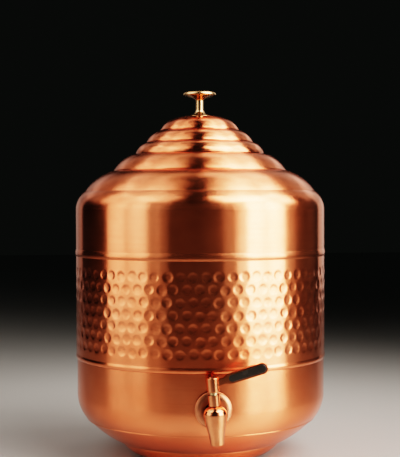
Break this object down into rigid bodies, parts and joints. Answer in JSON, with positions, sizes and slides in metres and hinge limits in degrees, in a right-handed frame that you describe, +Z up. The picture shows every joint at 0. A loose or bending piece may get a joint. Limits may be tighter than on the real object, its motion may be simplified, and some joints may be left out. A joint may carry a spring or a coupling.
{
  "type": "copper water dispenser",
  "caption": "Free-standing lidded copper water dispenser: round tank with a hammered band, stepped lift-off lid with a knob, and a quarter-turn lever tap low on the front.",
  "frame": {"origin": "centre of the flat base, on the tank's axis, in the plane the tank stands on", "axes": "+Z up along the tank's axis, -Y towards the tap, +X towards the tip of the closed lever"},
  "size_m": [0.2512, 0.2766, 0.3634],
  "materials": {
    "copper_satin": "satin",
    "copper_hammered": "hammered",
    "copper_lid": "satin",
    "copper_flange": "satin",
    "copper_polished": "polished",
    "brass_polished": "polished",
    "brass_plain": "machined",
    "steel_screw": "plain",
    "rubber_black": "matte",
    "packing_white": "matte",
    "grip_black": "gloss"
  },
  "bodies": {
    "tank": {"shoulder_shell": "copper_satin", "hammered_band": "copper_hammered", "lower_bowl": "copper_satin", "tap_flange": "copper_flange", "outer_gasket": "rubber_black", "inner_gasket": "rubber_black", "inner_washer": "brass_plain", "lock_nut": "brass_plain", "tap_body": "copper_polished", "bonnet": "copper_polished", "stem_packing": "packing_white", "spout_nozzle": "copper_polished"},
    "lid": {"lid_shell": "copper_lid", "lid_collar": "copper_lid", "knob": "brass_polished", "knob_washer": "steel_screw", "knob_nut": "steel_screw"},
    "lever": {"valve_plug": "brass_plain", "plug_o_ring": "rubber_black", "thrust_washer": "brass_plain", "lever_handle": "copper_polished", "lever_grip": "grip_black", "lever_screw": "steel_screw"}
  },
  "joints": [
    {"name": "lid_lift", "type": "slide", "parent": "tank", "child": "lid", "axis": [0, 0, 1], "range_m": [0, 0.12]},
    {"name": "lever_turn", "type": "hinge", "parent": "tank", "child": "lever", "pos_m": [0, -0.1406, 0.0656], "axis": [-0.0732, 0, 0.9973], "range_deg": [-90, 0]}
  ]
}
